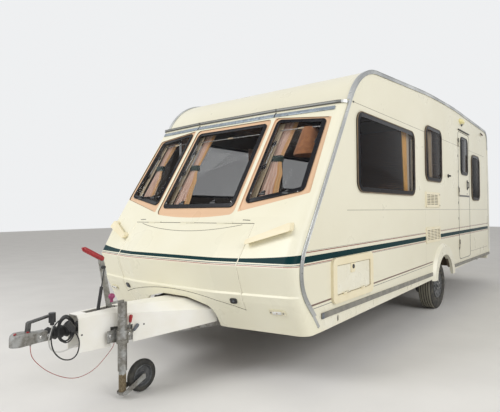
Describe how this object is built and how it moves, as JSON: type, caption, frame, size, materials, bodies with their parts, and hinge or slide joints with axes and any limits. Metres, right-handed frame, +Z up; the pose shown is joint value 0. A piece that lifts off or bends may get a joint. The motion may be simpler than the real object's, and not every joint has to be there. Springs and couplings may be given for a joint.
{
  "type": "travel caravan",
  "caption": "Single-axle touring caravan with a hollow cabin, opening door and lockers, overrun coupling, jockey wheel and corner steadies.",
  "frame": {"origin": "centre of the footprint, on the ground", "axes": "+Y along the caravan from the coupling to the rear, +Z up, +X to the side with the entrance door"},
  "size_m": [2.32, 7.27, 2.6742],
  "materials": {
    "body_cream": "satin weathered paint on sandwich panel",
    "front_moulding": "faded moulded plastic",
    "trim_cream": "satin moulded plastic",
    "rail_aluminium": "dull anodised",
    "strip_grey": "matte strip",
    "window_tint": "tinted acrylic",
    "lamp_lens": "ribbed lens",
    "steel_galvanised": "weathered zinc",
    "steel_painted": "grey paint with rust",
    "casting_dark": "weathered casting",
    "tyre_rubber": "dusty rubber",
    "gaiter_rubber": "matt rubber",
    "rim_steel": "silver paint",
    "fairing_plastic": "faded moulded plastic",
    "vent_cream": "satin moulded plastic",
    "door_furniture": "black plastic",
    "cord_black": "lead sheath",
    "cord_grey": "lead sheath",
    "cable_red": "coated cable",
    "floor_board": "weathered board",
    "furniture_wood": "veneered board",
    "cushion_fabric": "woven",
    "curtain_fabric": "woven"
  },
  "bodies": {
    "caravan": {"awning_rails": "rail_aluminium", "axle_beam": "steel_galvanised", "black_lead_loop": "cord_black", "black_lead_tail": "cord_black", "black_plug": "door_furniture", "body_windows": "window_tint", "breakaway_cable": "cable_red", "breakaway_clips": "steel_galvanised", "bumper_strips": "strip_grey", "chassis_cross_members": "steel_galvanised", "chassis_rails": "steel_galvanised", "coupling_handle": "casting_dark", "coupling_head": "steel_galvanised", "curtains": "curtain_fabric", "drawbar_fairing": "fairing_plastic", "floor_panel": "floor_board", "fridge_vents": "vent_cream", "front_panel": "front_moulding", "front_windows": "window_tint", "furniture": "furniture_wood", "grab_handles": "front_moulding", "grey_lead": "cord_grey", "grey_plug": "cord_grey", "jockey_clamp": "steel_galvanised", "jockey_outer_tube": "steel_galvanised", "lamps": "lamp_lens", "lead_glands": "door_furniture", "lead_hank": "cord_black", "locker_frame": "trim_cream", "overrun_gaiter": "gaiter_rubber", "overrun_housing": "casting_dark", "rear_bumper": "trim_cream", "rear_panel": "body_cream", "roof_panel": "body_cream", "rooflights": "trim_cream", "seat_cushions": "cushion_fabric", "side_skirts": "trim_cream", "side_wall_left": "body_cream", "side_wall_right": "body_cream", "wheel_arch_spats": "trim_cream"},
    "wheel_left": {"tyre_left": "tyre_rubber", "wheel_left": "rim_steel"},
    "wheel_right": {"tyre_right": "tyre_rubber", "wheel_right": "rim_steel"},
    "entrance_door": {"entrance_door": "body_cream", "door_window": "window_tint", "door_handle": "door_furniture"},
    "locker_flap": {"locker_flap": "trim_cream"},
    "gas_locker_lid": {"gas_locker_lid": "front_moulding"},
    "handbrake_lever": {"handbrake_lever": "steel_painted"},
    "strut_cylinder": {"strut_cylinder": "door_furniture"},
    "strut_rod": {"strut_rod": "steel_galvanised"},
    "corner_steady_front_left": {"corner_steady_front_left": "steel_galvanised"},
    "corner_steady_front_right": {"corner_steady_front_right": "steel_galvanised"},
    "corner_steady_rear_left": {"corner_steady_rear_left": "steel_galvanised"},
    "corner_steady_rear_right": {"corner_steady_rear_right": "steel_galvanised"},
    "jockey_stem": {"jockey_inner_tube": "steel_painted"},
    "jockey_fork": {"jockey_fork": "steel_painted"},
    "jockey_wheel": {"jockey_wheel": "gaiter_rubber"}
  },
  "joints": [
    {"name": "wheel_left_spin", "type": "hinge", "parent": "caravan", "child": "wheel_left", "pos_m": [0.978, 0.905, 0.295], "axis": [1, 0, 0], "continuous": true},
    {"name": "wheel_right_spin", "type": "hinge", "parent": "caravan", "child": "wheel_right", "pos_m": [-0.978, 0.905, 0.295], "axis": [1, 0, 0], "continuous": true},
    {"name": "door_hinge", "type": "hinge", "parent": "caravan", "child": "entrance_door", "pos_m": [1.133, 1.6875, 1.45], "axis": [0, 0, -1], "range_deg": [0, 170]},
    {"name": "locker_flap_hinge", "type": "hinge", "parent": "caravan", "child": "locker_flap", "pos_m": [1.153, -1.548, 0.606], "axis": [0, 1, 0], "range_deg": [0, 150]},
    {"name": "gas_lid_hinge", "type": "hinge", "parent": "caravan", "child": "gas_locker_lid", "pos_m": [0, -2.29807, 1.15409], "axis": [-1, 0, 0], "range_deg": [0, 75]},
    {"name": "handbrake_hinge", "type": "hinge", "parent": "caravan", "child": "handbrake_lever", "pos_m": [0, -2.995, 0.545], "axis": [1, 0, 0], "range_deg": [0, 55]},
    {"name": "strut_hinge", "type": "hinge", "parent": "caravan", "child": "strut_cylinder", "pos_m": [0.028, -3.11, 0.556], "axis": [1, 0, 0], "range_deg": [0, 66.8]},
    {"name": "strut_slide", "type": "slide", "parent": "strut_cylinder", "child": "strut_rod", "axis": [0, 0.169, 0.9856], "range_m": [-0.096, 0]},
    {"name": "steady_front_left_hinge", "type": "hinge", "parent": "caravan", "child": "corner_steady_front_left", "pos_m": [0.9, -1.45, 0.44], "axis": [1, 0, 0], "range_deg": [0, 60]},
    {"name": "steady_front_right_hinge", "type": "hinge", "parent": "caravan", "child": "corner_steady_front_right", "pos_m": [-0.9, -1.45, 0.44], "axis": [1, 0, 0], "range_deg": [0, 60]},
    {"name": "steady_rear_left_hinge", "type": "hinge", "parent": "caravan", "child": "corner_steady_rear_left", "pos_m": [0.9, 3.05, 0.44], "axis": [-1, 0, 0], "range_deg": [0, 60]},
    {"name": "steady_rear_right_hinge", "type": "hinge", "parent": "caravan", "child": "corner_steady_rear_right", "pos_m": [-0.9, 3.05, 0.44], "axis": [-1, 0, 0], "range_deg": [0, 60]},
    {"name": "jockey_stem_slide", "type": "slide", "parent": "caravan", "child": "jockey_stem", "axis": [0, 0, -1], "range_m": [-0.12, 0.1]},
    {"name": "jockey_swivel", "type": "hinge", "parent": "jockey_stem", "child": "jockey_fork", "pos_m": [0.156, -3.005, 0.06], "axis": [0, 0, 1], "continuous": true},
    {"name": "jockey_wheel_spin", "type": "hinge", "parent": "jockey_fork", "child": "jockey_wheel", "pos_m": [0.156, -2.854, 0.11], "axis": [1, 0, 0], "continuous": true}
  ],
  "couplings": [
    {"joint": "strut_hinge", "follows": "handbrake_hinge", "ratio": 1.1971},
    {"joint": "strut_slide", "follows": "handbrake_hinge", "m_per_rad": -0.09797}
  ]
}
